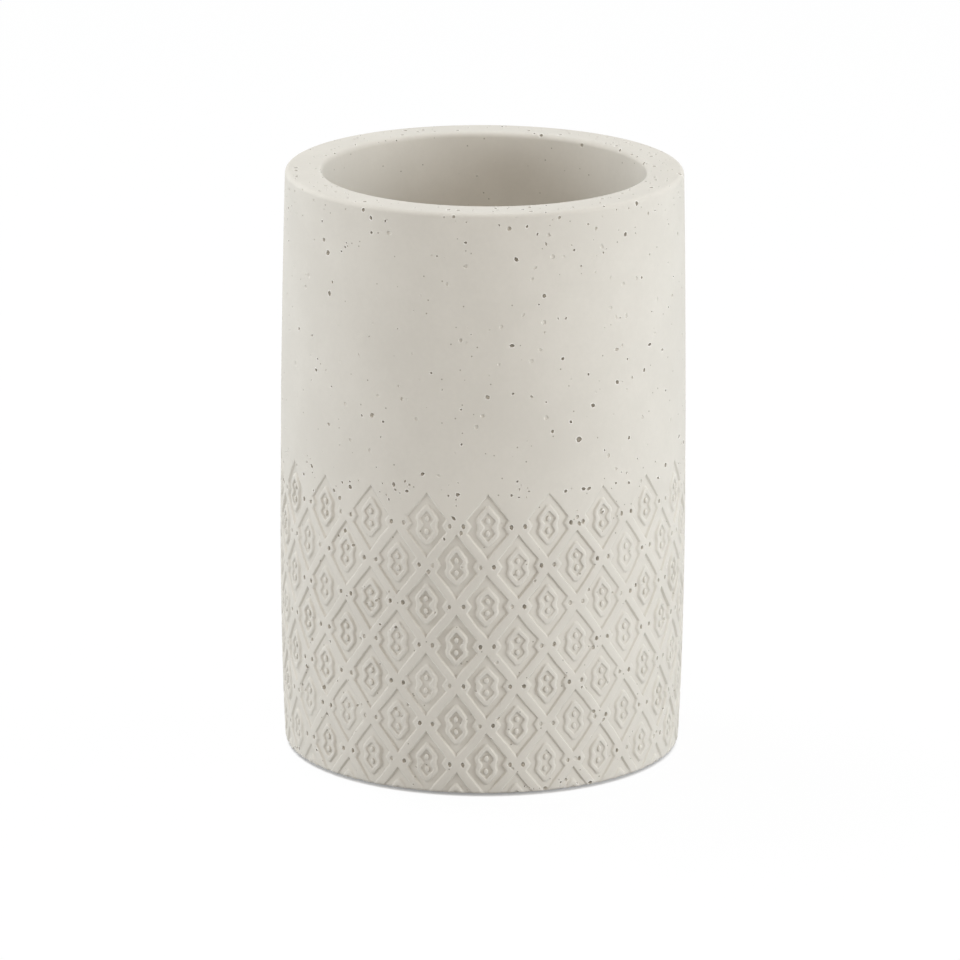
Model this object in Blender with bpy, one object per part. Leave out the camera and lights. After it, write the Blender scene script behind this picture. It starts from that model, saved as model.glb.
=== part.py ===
"""Toothbrush holder: a round tumbler cast in one piece, with a diamond lattice in its lower wall.

The cup is a thick-walled casting. Its wall swells slightly to a belly and draws in again to the rim
and to the base. Narrow bands at the level of the smooth wall cross each other and frame sunk
diamond pockets, each with a raised boss in its middle. The lattice runs off the base edge. A foam
pad sits in a shallow recess of the underside, stands a little proud of it, and carries the cup.

Units are metres, +Z is up, and the origin is the middle of the pad's underside. The front is -Y.
Angles run round +Z from the front towards +X.
"""

import math

import bmesh
import bpy
from mathutils import Matrix, Vector

MM = 0.001

# Cup, outer form. The belly's height is above the cup's own base edge.
CUP_HEIGHT = 110.0 * MM
RIM_RADIUS = 37.0 * MM
BELLY_SWELL = 1.0 * MM
BELLY_HEIGHT = 37.0 * MM
BASE_DRAW_IN = 0.85 * MM

# Cup, rim and hollow.
RIM_WALL = 6.9 * MM
RIM_OUTER_ROUND = 0.9 * MM
RIM_INNER_ROUND = 1.3 * MM
HOLLOW_TAPER = 1.1 * MM
FLOOR_THICKNESS = 9.0 * MM
FLOOR_ROUND = 4.5 * MM

# Lattice. One column is one diamond wide, and rows lie half a diamond's height apart. Its top is
# the height above the base edge at which the topmost bands would cross.
COLUMNS = 21
LATTICE_TOP = 59.0 * MM
ROW_STEP = 7.62 * MM
POCKET_DEPTH = 0.32 * MM
BOSS_SET_BACK = 0.02 * MM
WALL_RUN = 0.1 * MM
SHOULDER_RISE = 2.4 * MM

# Underside: the ring of stone round the recess, and the pad in it.
BASE_LAND = 5.75 * MM
PAD_THICKNESS = 1.5 * MM
PAD_PROUD = 0.5 * MM
PAD_EDGE_ROUND = 0.25 * MM
PAD_SIDE_GAP = 0.4 * MM
SEAT_GAP = 0.3 * MM

# Outlines in one quarter of a diamond, from its upper tip to its right side. Each point is a share
# of the half width of a column and of the row step, and the other quarters are mirrored from it.
# The pocket's last point is the tip of the ear that the band crossing pushes into it, and the
# boss's last point is the waist beside that ear.
POCKET_SHARES = ((0.0, 0.81), (0.665, 0.16), (0.53, 0.0))
BOSS_SHARES = ((0.0, 0.545), (0.45, 0.17), (0.325, 0.0))

# Facets of the rounded forms.
FACETS_PER_COLUMN = 3
ROUND_STEPS = 2
FLOOR_ROUND_STEPS = 3
WALL_STEPS = 2
SMOOTH_ANGLE = math.radians(32.0)

# Points of the lattice nearer to the base plane than this are cut on the plane.
CUT_TOLERANCE = 0.02 * MM

# Colours as linear values.
STONE_COLOUR = (0.69, 0.66, 0.59, 1.0)
FOAM_COLOUR = (0.03, 0.03, 0.029, 1.0)

# Worked out from the sizes above.
BASE_LEVEL = PAD_PROUD
RIM_LEVEL = BASE_LEVEL + CUP_HEIGHT
BELLY_RADIUS = RIM_RADIUS + BELLY_SWELL
FLOOR_RADIUS = RIM_RADIUS - RIM_WALL - HOLLOW_TAPER
FLOOR_LEVEL = BASE_LEVEL + FLOOR_THICKNESS
RECESS_RADIUS = BELLY_RADIUS - BASE_DRAW_IN - BASE_LAND
RECESS_ROOF_LEVEL = PAD_THICKNESS + SEAT_GAP
PAD_RADIUS = RECESS_RADIUS - PAD_SIDE_GAP
ROWS = math.ceil(LATTICE_TOP / ROW_STEP)
FACETS = FACETS_PER_COLUMN * COLUMNS


def clear_scene():
    """Remove whatever the scene holds."""
    for obj in list(bpy.data.objects):
        bpy.data.objects.remove(obj, do_unlink=True)


def plain_material(name, colour, roughness):
    """Return a material of one colour."""
    material = bpy.data.materials.new(name)
    material.use_nodes = True
    shader = material.node_tree.nodes["Principled BSDF"]
    shader.inputs["Base Color"].default_value = colour
    shader.inputs["Roughness"].default_value = roughness
    shader.inputs["Metallic"].default_value = 0.0
    return material


def add_object(name, bm, material):
    """Turn a bmesh into a smooth-shaded object of one material."""
    bmesh.ops.recalc_face_normals(bm, faces=bm.faces)
    mesh = bpy.data.meshes.new(name)
    bm.to_mesh(mesh)
    bm.free()
    mesh.materials.append(material)
    mesh.shade_smooth()
    mesh.set_sharp_from_angle(angle=SMOOTH_ANGLE)
    obj = bpy.data.objects.new(name, mesh)
    bpy.context.collection.objects.link(obj)
    return obj


def on_circle(radius, angle, level):
    """Return the point at a radius, at an angle from the front and at a level."""
    return Vector((radius * math.sin(angle), -radius * math.cos(angle), level))


def wall_radius(level):
    """Return the smooth outer wall's radius at a level: two parabolas that meet at the belly."""
    above_belly = level - (BASE_LEVEL + BELLY_HEIGHT)
    if above_belly > 0:
        return BELLY_RADIUS - BELLY_SWELL * (above_belly / (CUP_HEIGHT - BELLY_HEIGHT)) ** 2
    return BELLY_RADIUS - BASE_DRAW_IN * (above_belly / BELLY_HEIGHT) ** 2


def hollow_radius(level):
    """Return the hollow's radius at a level. It tapers evenly from the rim to the floor."""
    return FLOOR_RADIUS + HOLLOW_TAPER * (level - FLOOR_LEVEL) / (RIM_LEVEL - FLOOR_LEVEL)


def arc(centre_radius, centre_level, round_radius, start, end, steps):
    """Return profile points on an arc. Its angles in degrees run up from the outward direction."""
    points = []
    for step in range(steps + 1):
        angle = math.radians(start + (end - start) * step / steps)
        radius = centre_radius + round_radius * math.cos(angle)
        points.append((radius, centre_level + round_radius * math.sin(angle)))
    return points


def shell_profile():
    """Return (radius, level) points from above the lattice, over the rim, to the hollow's floor."""
    start = BASE_LEVEL + LATTICE_TOP + SHOULDER_RISE
    end = RIM_LEVEL - RIM_OUTER_ROUND
    points = []
    for step in range(WALL_STEPS):
        level = start + (end - start) * step / WALL_STEPS
        points.append((wall_radius(level), level))
    points += arc(wall_radius(end) - RIM_OUTER_ROUND, end, RIM_OUTER_ROUND, 0, 90, ROUND_STEPS)
    inner = RIM_LEVEL - RIM_INNER_ROUND
    points += arc(hollow_radius(inner) + RIM_INNER_ROUND, inner, RIM_INNER_ROUND, 90, 180, ROUND_STEPS)
    foot = FLOOR_LEVEL + FLOOR_ROUND
    points += arc(hollow_radius(foot) - FLOOR_ROUND, foot, FLOOR_ROUND, 0, -90, FLOOR_ROUND_STEPS)
    return points


def add_rings(bm, profile):
    """Turn a profile about the axis and return its rings of vertices, in the profile's order."""
    rings = []
    for radius, level in profile:
        angles = (math.tau * index / FACETS for index in range(FACETS))
        rings.append([bm.verts.new(on_circle(radius, angle, level)) for angle in angles])
    for ring, following in zip(rings, rings[1:]):
        for index in range(FACETS):
            after = (index + 1) % FACETS
            bm.faces.new((ring[index], ring[after], following[after], following[index]))
    return rings


def loop_edges(bm, loop):
    """Return the edges that close a loop of vertices, new ones where there are none."""
    edges = []
    for here, after in zip(loop, loop[1:] + loop[:1]):
        edges.append(bm.edges.get((here, after)) or bm.edges.new((here, after)))
    return edges


def full_outline(quarter_shares):
    """Mirror a quarter outline to the whole one, clockwise from its upper tip."""
    right = list(quarter_shares) + [(x, -y) for x, y in reversed(quarter_shares[:-1])]
    left = [(-x, y) for x, y in reversed(right[1:-1])]
    return right + left


def drawn_in(shares, run):
    """Scale an outline towards its middle, so that its corners move sideways by the run."""
    half_width = math.pi * BELLY_RADIUS / COLUMNS
    factor = 1 - run / (half_width * max(x for x, _ in shares))
    return [(x * factor, y * factor) for x, y in shares]


def lattice_point(half_column, level, depth):
    """Return a point of the lattice wall. Half columns count from the front, two to a diamond."""
    return on_circle(wall_radius(level) - depth, half_column * math.pi / COLUMNS, level)


def crossing_level(row):
    """Return the level of a row of band crossings. Row -1 holds the lattice's top tips."""
    return BASE_LEVEL + LATTICE_TOP - (row + 1) * ROW_STEP


def add_crossings(bm):
    """Return the vertices where bands cross, by row and half column."""
    crossings = {}
    for row in range(-1, ROWS + 1):
        for half_column in range(2 * COLUMNS):
            if (half_column + row) % 2 == 1:
                point = lattice_point(half_column, crossing_level(row), 0)
                crossings[row, half_column] = bm.verts.new(point)
    return crossings


def add_outline(bm, row, half_column, shares, depth):
    """Return the vertices of one outline in one diamond."""
    vertices = []
    for x_share, y_share in shares:
        level = crossing_level(row) + y_share * ROW_STEP
        vertices.append(bm.verts.new(lattice_point(half_column + x_share, level, depth)))
    return vertices


def join_outlines(bm, outer, inner):
    """Fill between two outlines of the same number of points."""
    for index in range(len(outer)):
        after = (index + 1) % len(outer)
        bm.faces.new((outer[index], outer[after], inner[after], inner[index]))


def add_diamond(bm, crossings, row, half_column):
    """Fill one diamond: the near half of each band round it, the sunk pocket and the raised boss."""
    around = 2 * COLUMNS
    top = crossings[row - 1, half_column]
    right = crossings[row, (half_column + 1) % around]
    bottom = crossings[row + 1, half_column]
    left = crossings[row, (half_column - 1) % around]

    pocket = full_outline(POCKET_SHARES)
    boss = full_outline(BOSS_SHARES)
    mouth = add_outline(bm, row, half_column, pocket, 0)
    floor = add_outline(bm, row, half_column, drawn_in(pocket, WALL_RUN), POCKET_DEPTH)
    boss_foot = add_outline(bm, row, half_column, drawn_in(boss, -WALL_RUN / 2), POCKET_DEPTH)
    boss_top = add_outline(bm, row, half_column, drawn_in(boss, WALL_RUN / 2), BOSS_SET_BACK)

    corners = (top, right, bottom, left)
    for side, corner in enumerate(corners):
        next_corner = corners[(side + 1) % 4]
        first, second = mouth[2 * side], mouth[2 * side + 1]
        third = mouth[(2 * side + 2) % len(mouth)]
        bm.faces.new((corner, second, first))
        bm.faces.new((corner, next_corner, second))
        bm.faces.new((next_corner, third, second))
    join_outlines(bm, mouth, floor)
    join_outlines(bm, floor, boss_foot)
    join_outlines(bm, boss_foot, boss_top)
    bm.faces.new(boss_top)


def add_lattice(bm):
    """Build the lattice wall and return its top edge, a zigzag of two points a column."""
    crossings = add_crossings(bm)
    for row in range(ROWS):
        for column in range(COLUMNS):
            add_diamond(bm, crossings, row, 2 * column + row % 2)
    return [crossings[-1 if half % 2 == 0 else 0, half] for half in range(2 * COLUMNS)]


def trim_at_base(bm):
    """Cut the lattice off at the base and return the edges of the cut."""
    cut = bmesh.ops.bisect_plane(
        bm,
        geom=bm.verts[:] + bm.edges[:] + bm.faces[:],
        dist=CUT_TOLERANCE,
        plane_co=(0, 0, BASE_LEVEL),
        plane_no=(0, 0, -1),
        use_snap_center=True,
        clear_outer=True,
    )
    return [item for item in cut["geom_cut"] if isinstance(item, bmesh.types.BMEdge)]


def build_cup(material):
    """Cast the cup: lattice wall, smooth wall, rim, hollow, and the recess for the pad."""
    bm = bmesh.new()
    zigzag = add_lattice(bm)
    base_edges = trim_at_base(bm)

    shell = add_rings(bm, shell_profile())
    bmesh.ops.bridge_loops(bm, edges=loop_edges(bm, zigzag) + loop_edges(bm, shell[0]))
    bm.faces.new(shell[-1])

    recess = add_rings(bm, ((RECESS_RADIUS, BASE_LEVEL), (RECESS_RADIUS, RECESS_ROOF_LEVEL)))
    bm.faces.new(recess[-1])
    bmesh.ops.triangle_fill(bm, edges=base_edges + loop_edges(bm, recess[0]), use_beauty=True)
    return add_object("cup_body", bm, material)


def build_pad(material):
    """Punch the pad from sheet foam, its lower edge slightly rounded."""
    bm = bmesh.new()
    middle = Matrix.Translation((0, 0, PAD_THICKNESS / 2))
    bmesh.ops.create_cone(
        bm,
        cap_ends=True,
        segments=FACETS,
        radius1=PAD_RADIUS,
        radius2=PAD_RADIUS,
        depth=PAD_THICKNESS,
        matrix=middle,
    )
    lower = [edge for edge in bm.edges if all(vert.co.z < PAD_THICKNESS / 2 for vert in edge.verts)]
    bmesh.ops.bevel(
        bm, geom=lower, offset=PAD_EDGE_ROUND, segments=ROUND_STEPS, profile=0.5, affect="EDGES"
    )
    return add_object("base_pad", bm, material)


def main():
    """Build both pieces."""
    clear_scene()
    build_cup(plain_material("cast_stone", STONE_COLOUR, 0.9))
    build_pad(plain_material("pad_foam", FOAM_COLOUR, 0.95))


main()
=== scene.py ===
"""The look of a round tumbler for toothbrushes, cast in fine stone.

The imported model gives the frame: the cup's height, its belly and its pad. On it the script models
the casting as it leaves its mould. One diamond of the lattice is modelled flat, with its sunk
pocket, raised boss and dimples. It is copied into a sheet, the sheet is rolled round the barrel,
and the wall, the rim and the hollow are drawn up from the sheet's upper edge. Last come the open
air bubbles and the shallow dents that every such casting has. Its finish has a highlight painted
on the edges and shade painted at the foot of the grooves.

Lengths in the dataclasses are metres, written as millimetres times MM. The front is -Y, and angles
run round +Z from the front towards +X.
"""

from __future__ import annotations

import logging
import math
import random
from collections.abc import Callable, Iterator, Sequence
from contextlib import contextmanager
from dataclasses import dataclass, field
from enum import Enum

import bmesh
import bpy
import numpy as np
from mathutils import Matrix, Vector, noise
from mathutils.bvhtree import BVHTree

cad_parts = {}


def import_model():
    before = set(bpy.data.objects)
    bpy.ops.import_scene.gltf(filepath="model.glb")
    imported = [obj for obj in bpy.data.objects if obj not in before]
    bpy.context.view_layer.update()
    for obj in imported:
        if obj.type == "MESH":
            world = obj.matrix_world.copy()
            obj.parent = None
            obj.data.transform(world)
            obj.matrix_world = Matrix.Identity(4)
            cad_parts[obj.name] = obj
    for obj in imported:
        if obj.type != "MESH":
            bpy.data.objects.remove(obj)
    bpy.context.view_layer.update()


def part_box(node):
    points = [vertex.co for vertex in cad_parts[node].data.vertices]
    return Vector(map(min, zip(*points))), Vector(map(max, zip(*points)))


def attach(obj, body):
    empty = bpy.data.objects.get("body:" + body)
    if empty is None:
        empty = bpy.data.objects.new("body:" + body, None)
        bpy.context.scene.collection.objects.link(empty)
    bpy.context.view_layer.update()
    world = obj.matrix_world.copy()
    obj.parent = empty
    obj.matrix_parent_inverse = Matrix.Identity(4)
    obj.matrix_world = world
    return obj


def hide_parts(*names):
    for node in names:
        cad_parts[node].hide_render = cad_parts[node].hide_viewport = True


MM = 0.001
SAME_PLACE = 0.001 * MM
LONGEST_CUT = 0.3

log = logging.getLogger("tumbler")

Point = tuple[float, float]
Material = bpy.types.Material
Socket = bpy.types.NodeSocket


# Small helpers round Blender's operators.


def stand_clear() -> None:
    """Leave edit mode and deselect every object."""
    if bpy.context.mode != "OBJECT":
        bpy.ops.object.mode_set(mode="OBJECT")
    bpy.ops.object.select_all(action="DESELECT")


def pick(piece: bpy.types.Object) -> None:
    """Select one object alone and make it the active one.

    Args:
        piece: The object that the next operators act on.
    """
    stand_clear()
    piece.select_set(True)
    bpy.context.view_layer.objects.active = piece


@contextmanager
def editing(piece: bpy.types.Object) -> Iterator[None]:
    """Open a piece in edit mode with nothing selected, and close it afterwards.

    Args:
        piece: The mesh object to edit.

    Yields:
        Nothing, while the piece is open.
    """
    pick(piece)
    bpy.ops.object.mode_set(mode="EDIT")
    bpy.ops.mesh.select_mode(type="VERT")
    bpy.ops.mesh.select_all(action="DESELECT")
    yield
    bpy.ops.object.mode_set(mode="OBJECT")


def shape_selected(piece: bpy.types.Object, move: Callable[[Vector], Vector]) -> None:
    """Move each selected vertex of the piece in edit mode to where a rule puts it.

    Args:
        piece: The mesh object in edit mode.
        move: Gives a vertex's new place from its old one.
    """
    mesh = bmesh.from_edit_mesh(piece.data)
    for vertex in mesh.verts:
        if vertex.select:
            vertex.co = move(vertex.co)
    bmesh.update_edit_mesh(piece.data)


def select_where(piece: bpy.types.Object, wanted: Callable[[Vector], bool]) -> None:
    """Select the vertices of the piece in edit mode that lie where they are wanted.

    Args:
        piece: The mesh object in edit mode.
        wanted: Says whether a vertex at a place is selected.
    """
    mesh = bmesh.from_edit_mesh(piece.data)
    for vertex in mesh.verts:
        vertex.select = wanted(vertex.co)
    mesh.select_flush(True)
    mesh.select_flush(False)
    bmesh.update_edit_mesh(piece.data)


def apply_modifier(piece: bpy.types.Object, modifier: bpy.types.Modifier) -> None:
    """Apply one modifier of a piece.

    Args:
        piece: The object that has the modifier.
        modifier: The modifier to apply.
    """
    pick(piece)
    bpy.ops.object.modifier_apply(modifier=modifier.name)


def list_faces_in_order(piece: bpy.types.Object) -> None:
    """List a piece's faces in one fixed order.

    Blender's own order after an extrusion varies from run to run, and so would all that follows.

    Args:
        piece: The mesh object, out of edit mode.
    """
    corners = [tuple(vertex.co) for vertex in piece.data.vertices]
    faces = []
    for face in piece.data.polygons:
        around = list(face.vertices)
        first = around.index(min(around))
        faces.append(around[first:] + around[:first])
    piece.data.clear_geometry()
    piece.data.from_pydata(corners, [], sorted(faces))


def triangle_count(piece: bpy.types.Object) -> int:
    """Return how many triangles a piece has."""
    return sum(len(face.vertices) - 2 for face in piece.data.polygons)


# Finishes.


def linear(hex_colour: str) -> tuple[float, float, float, float]:
    """Turn an sRGB hex colour into linear values with full alpha.

    Args:
        hex_colour: Six hex digits after a hash sign.

    Returns:
        Red, green, blue and alpha for a shader's socket.
    """
    channels = []
    for start in (1, 3, 5):
        value = int(hex_colour[start : start + 2], 16) / 255
        channels.append(value / 12.92 if value <= 0.04045 else ((value + 0.055) / 1.055) ** 2.4)
    return (channels[0], channels[1], channels[2], 1.0)


def add_node(
    owner: Material | bpy.types.World,
    kind: str,
    settings: dict[str, object] | None = None,
    values: dict[str | int, object] | None = None,
    links: dict[str | int, Socket] | None = None,
) -> bpy.types.Node:
    """Add a node to a material or a world, set it and link it.

    Args:
        owner: The material or the world whose tree gets the node.
        kind: The node's type, such as ShaderNodeTexNoise.
        settings: Properties of the node itself.
        values: Values of its input sockets, by name or number.
        links: Output sockets that feed its inputs, by the input's name or number.

    Returns:
        The new node.
    """
    tree = owner.node_tree
    node = tree.nodes.new(kind)
    for name, value in (settings or {}).items():
        setattr(node, name, value)
    for name, value in (values or {}).items():
        node.inputs[name].default_value = value
    for name, socket in (links or {}).items():
        tree.links.new(socket, node.inputs[name])
    return node


def seen_share(owner: Material | bpy.types.World) -> Socket:
    """Add the nodes that tell what the eye sees from what only lights the scene.

    Args:
        owner: The material or the world that the nodes belong to.

    Returns:
        A value of 1 for rays from the camera, a mirror or glass, and 0 for all others.
    """
    rays = add_node(owner, "ShaderNodeLightPath").outputs
    seen = add_node(
        owner,
        "ShaderNodeMath",
        settings={"operation": "MAXIMUM"},
        links={0: rays["Is Camera Ray"], 1: rays["Is Glossy Ray"]},
    )
    shown = add_node(
        owner,
        "ShaderNodeMath",
        settings={"operation": "MAXIMUM"},
        links={0: seen.outputs["Value"], 1: rays["Is Transmission Ray"]},
    )
    return shown.outputs["Value"]


def per_metre(size: float) -> float:
    """Return the scale that gives a noise or cell pattern features of a size in metres."""
    return 1.0 / size


@dataclass(frozen=True)
class CastStone:
    """Cast stone: cement or resin with fine stone flour, poured in a silicone mould.

    It is dead matt and warm grey. The eye sees a dry, faintly sandy skin, soft clouds where the
    flour settled unevenly, and pinholes too fine to be modelled, painted darker as the shade inside
    them. Edges are painted paler as a highlight, and the foot of each groove is painted darker as
    shade. Both begin where the openness falls to the first value of their pair, are strongest at
    the second, and come in patches.
    """

    pale: str = "#D7D2C8"
    shade: str = "#D2CDC3"
    # Pinholes painted darker, as the shade inside them.
    pinhole_shade: str = "#A39D90"
    # Painted highlight on convex edges, and painted shade at the foot of each groove.
    edge_highlight: str = "#F0EDE6"
    groove_shade: str = "#8F897C"
    edge_highlight_reach: float = 0.25 * MM
    edge_highlight_openness: Point = (0.96, 0.5)
    edge_highlight_most: float = 1.0
    groove_shade_reach: float = 0.55 * MM
    groove_shade_openness: Point = (0.93, 0.6)
    groove_shade_most: float = 0.34
    patch_edges: Point = (0.35, 0.65)
    patch_strengths: Point = (0.4, 1.5)
    roughness: float = 0.88
    roughness_swing: float = 0.06
    ior: float = 1.5
    cloud_size: float = 14.0 * MM
    cloud_edges: Point = (0.45, 0.9)
    fleck_size: float = 0.9 * MM
    fleck_share: float = 0.35
    sand_size: float = 0.35 * MM
    sand_height: float = 0.009 * MM
    pinhole_spacing: float = 2.4 * MM
    pinhole_reach: float = 0.075
    pinhole_core: float = 0.6
    pinhole_depth: float = 0.03 * MM

    def material(self) -> Material:
        """Build the material.

        Returns:
            A material named for the stone.
        """
        stone = bpy.data.materials.new("cast_stone_matt")
        stone.use_nodes = True
        tree = stone.node_tree
        shader = tree.nodes["Principled BSDF"]
        shader.inputs["IOR"].default_value = self.ior
        place = add_node(stone, "ShaderNodeTexCoord").outputs["Object"]
        clouds, flecks, sand = self._noises(stone, place)
        pinholes = self._pinholes(stone, place)
        clean = self._clean_colour(stone, clouds, flecks, pinholes)
        dryness = add_node(
            stone,
            "ShaderNodeMapRange",
            values={
                "To Min": self.roughness - self.roughness_swing,
                "To Max": self.roughness + self.roughness_swing,
            },
            links={"Value": flecks},
        )
        tree.links.new(self._painted_light_colour(stone, clean, flecks), shader.inputs["Base Color"])
        tree.links.new(dryness.outputs["Result"], shader.inputs["Roughness"])
        tree.links.new(self._skin(stone, sand, pinholes), shader.inputs["Normal"])
        return stone

    def _noises(self, stone: Material, place: Socket) -> list[Socket]:
        """Add the clouds, the flecks and the sand.

        Args:
            stone: The material.
            place: The place on the piece.

        Returns:
            The three patterns, from the coarsest to the finest.
        """
        return [
            add_node(
                stone,
                "ShaderNodeTexNoise",
                values={"Scale": per_metre(size), "Detail": detail, "Roughness": roughness},
                links={"Vector": place},
            ).outputs["Fac"]
            for size, detail, roughness in (
                (self.cloud_size, 3.0, 0.55),
                (self.fleck_size, 2.0, 0.6),
                (self.sand_size, 2.0, 0.7),
            )
        ]

    def _pinholes(self, stone: Material, place: Socket) -> Socket:
        """Add the pinholes.

        Args:
            stone: The material.
            place: The place on the piece.

        Returns:
            A pattern that is 1 inside the pinholes and 0 between them.
        """
        cells = add_node(
            stone,
            "ShaderNodeTexVoronoi",
            settings={"feature": "F1", "distance": "EUCLIDEAN"},
            values={"Scale": per_metre(self.pinhole_spacing), "Randomness": 1.0},
            links={"Vector": place},
        )
        inside_hole = add_node(
            stone,
            "ShaderNodeMapRange",
            settings={"interpolation_type": "SMOOTHSTEP"},
            values={
                "From Min": self.pinhole_reach,
                "From Max": self.pinhole_reach * self.pinhole_core,
            },
            links={"Value": cells.outputs["Distance"]},
        )
        return inside_hole.outputs["Result"]

    def _clean_colour(
        self, stone: Material, clouds: Socket, flecks: Socket, pinholes: Socket
    ) -> Socket:
        """Colour the stone: clouds and flecks as cast, with the pinholes painted darker as the
        shade inside them.

        Args:
            stone: The material.
            clouds: The coarse pattern.
            flecks: The fine one.
            pinholes: The pattern of the pinholes.

        Returns:
            The colour.
        """
        tone = add_node(
            stone,
            "ShaderNodeMath",
            settings={"operation": "MULTIPLY_ADD"},
            values={1: self.fleck_share},
            links={0: flecks, 2: clouds},
        )
        paleness = add_node(
            stone,
            "ShaderNodeMapRange",
            settings={"interpolation_type": "SMOOTHSTEP"},
            values={"From Min": self.cloud_edges[0], "From Max": self.cloud_edges[1]},
            links={"Value": tone.outputs["Value"]},
        )
        body = add_node(
            stone,
            "ShaderNodeMix",
            settings={"data_type": "RGBA"},
            values={6: linear(self.shade), 7: linear(self.pale)},
            links={0: paleness.outputs["Result"]},
        )
        # Painted shade inside the pinholes.
        pinhole_shaded = add_node(
            stone,
            "ShaderNodeMix",
            settings={"data_type": "RGBA"},
            values={7: linear(self.pinhole_shade)},
            links={0: pinholes, 6: body.outputs[2]},
        )
        return pinhole_shaded.outputs[2]

    def _painted_light_colour(self, stone: Material, clean: Socket, flecks: Socket) -> Socket:
        """Paint a highlight on the edges and shade at the foot of the grooves into the colour.

        Args:
            stone: The material.
            clean: The colour as cast.
            flecks: The pattern that makes the painted highlight and shade patchy.

        Returns:
            The colour.
        """
        patchy = add_node(
            stone,
            "ShaderNodeMapRange",
            values={
                "From Min": self.patch_edges[0],
                "From Max": self.patch_edges[1],
                "To Min": self.patch_strengths[0],
                "To Max": self.patch_strengths[1],
            },
            links={"Value": flecks},
        )
        colour = clean
        # First pass: a painted highlight on convex edges. Second pass: painted shade at the foot of
        # the grooves.
        for from_inside, reach, pair, most, tint in (
            (True, self.edge_highlight_reach, self.edge_highlight_openness, self.edge_highlight_most, self.edge_highlight),
            (False, self.groove_shade_reach, self.groove_shade_openness, self.groove_shade_most, self.groove_shade),
        ):
            openness = add_node(
                stone,
                "ShaderNodeAmbientOcclusion",
                settings={"samples": 8, "inside": from_inside, "only_local": True},
                values={"Distance": reach},
            )
            share = add_node(
                stone,
                "ShaderNodeMapRange",
                values={"From Min": pair[0], "From Max": pair[1], "To Max": most},
                links={"Value": openness.outputs["AO"]},
            )
            patches = add_node(
                stone,
                "ShaderNodeMath",
                settings={"operation": "MULTIPLY", "use_clamp": True},
                links={0: share.outputs["Result"], 1: patchy.outputs["Result"]},
            )
            colour = add_node(
                stone,
                "ShaderNodeMix",
                settings={"data_type": "RGBA"},
                values={7: linear(tint)},
                links={0: patches.outputs["Value"], 6: colour},
            ).outputs[2]
        return colour

    def _skin(self, stone: Material, sand: Socket, pinholes: Socket) -> Socket:
        """Roughen the surface: fine sand, with the pinholes sunk into it.

        Args:
            stone: The material.
            sand: The pattern of the sand.
            pinholes: The pattern of the pinholes.

        Returns:
            The direction that the surface faces.
        """
        grain = add_node(
            stone,
            "ShaderNodeBump",
            values={"Strength": 1.0, "Distance": self.sand_height},
            links={"Height": sand},
        )
        pitted = add_node(
            stone,
            "ShaderNodeBump",
            settings={"invert": True},
            values={"Strength": 1.0, "Distance": self.pinhole_depth},
            links={"Height": pinholes, "Normal": grain.outputs["Normal"]},
        )
        return pitted.outputs["Normal"]


@dataclass(frozen=True)
class CellFoam:
    """EVA foam: closed cells, split from a block, so its faces show the cut cells as fine pores,
    painted darker as the shade inside them.
    """

    skin: str = "#33332F"
    # The pores are painted darker, as the shade inside the cut cells.
    pore_shade: str = "#1B1B1A"
    roughness: float = 0.93
    cell_size: float = 0.4 * MM
    cell_unevenness: float = 0.9
    wall_edges: Point = (0.15, 0.6)
    pore_depth: float = 0.05 * MM
    pore_strength: float = 0.8

    def material(self) -> Material:
        """Build the material.

        Returns:
            A material named for the foam.
        """
        foam = bpy.data.materials.new("eva_foam_split")
        foam.use_nodes = True
        tree = foam.node_tree
        shader = tree.nodes["Principled BSDF"]
        shader.inputs["Roughness"].default_value = self.roughness
        place = add_node(foam, "ShaderNodeTexCoord").outputs["Object"]
        cells = add_node(
            foam,
            "ShaderNodeTexVoronoi",
            values={"Scale": per_metre(self.cell_size), "Randomness": self.cell_unevenness},
            links={"Vector": place},
        )
        wall = add_node(
            foam,
            "ShaderNodeMapRange",
            values={"From Min": self.wall_edges[0], "From Max": self.wall_edges[1]},
            links={"Value": cells.outputs["Distance"]},
        )
        colour = add_node(
            foam,
            "ShaderNodeMix",
            settings={"data_type": "RGBA"},
            values={6: linear(self.pore_shade), 7: linear(self.skin)},
            links={0: wall.outputs["Result"]},
        )
        bump = add_node(
            foam,
            "ShaderNodeBump",
            values={"Strength": self.pore_strength, "Distance": self.pore_depth},
            links={"Height": wall.outputs["Result"]},
        )
        tree.links.new(colour.outputs[2], shader.inputs["Base Color"])
        tree.links.new(bump.outputs["Normal"], shader.inputs["Normal"])
        return foam


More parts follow.
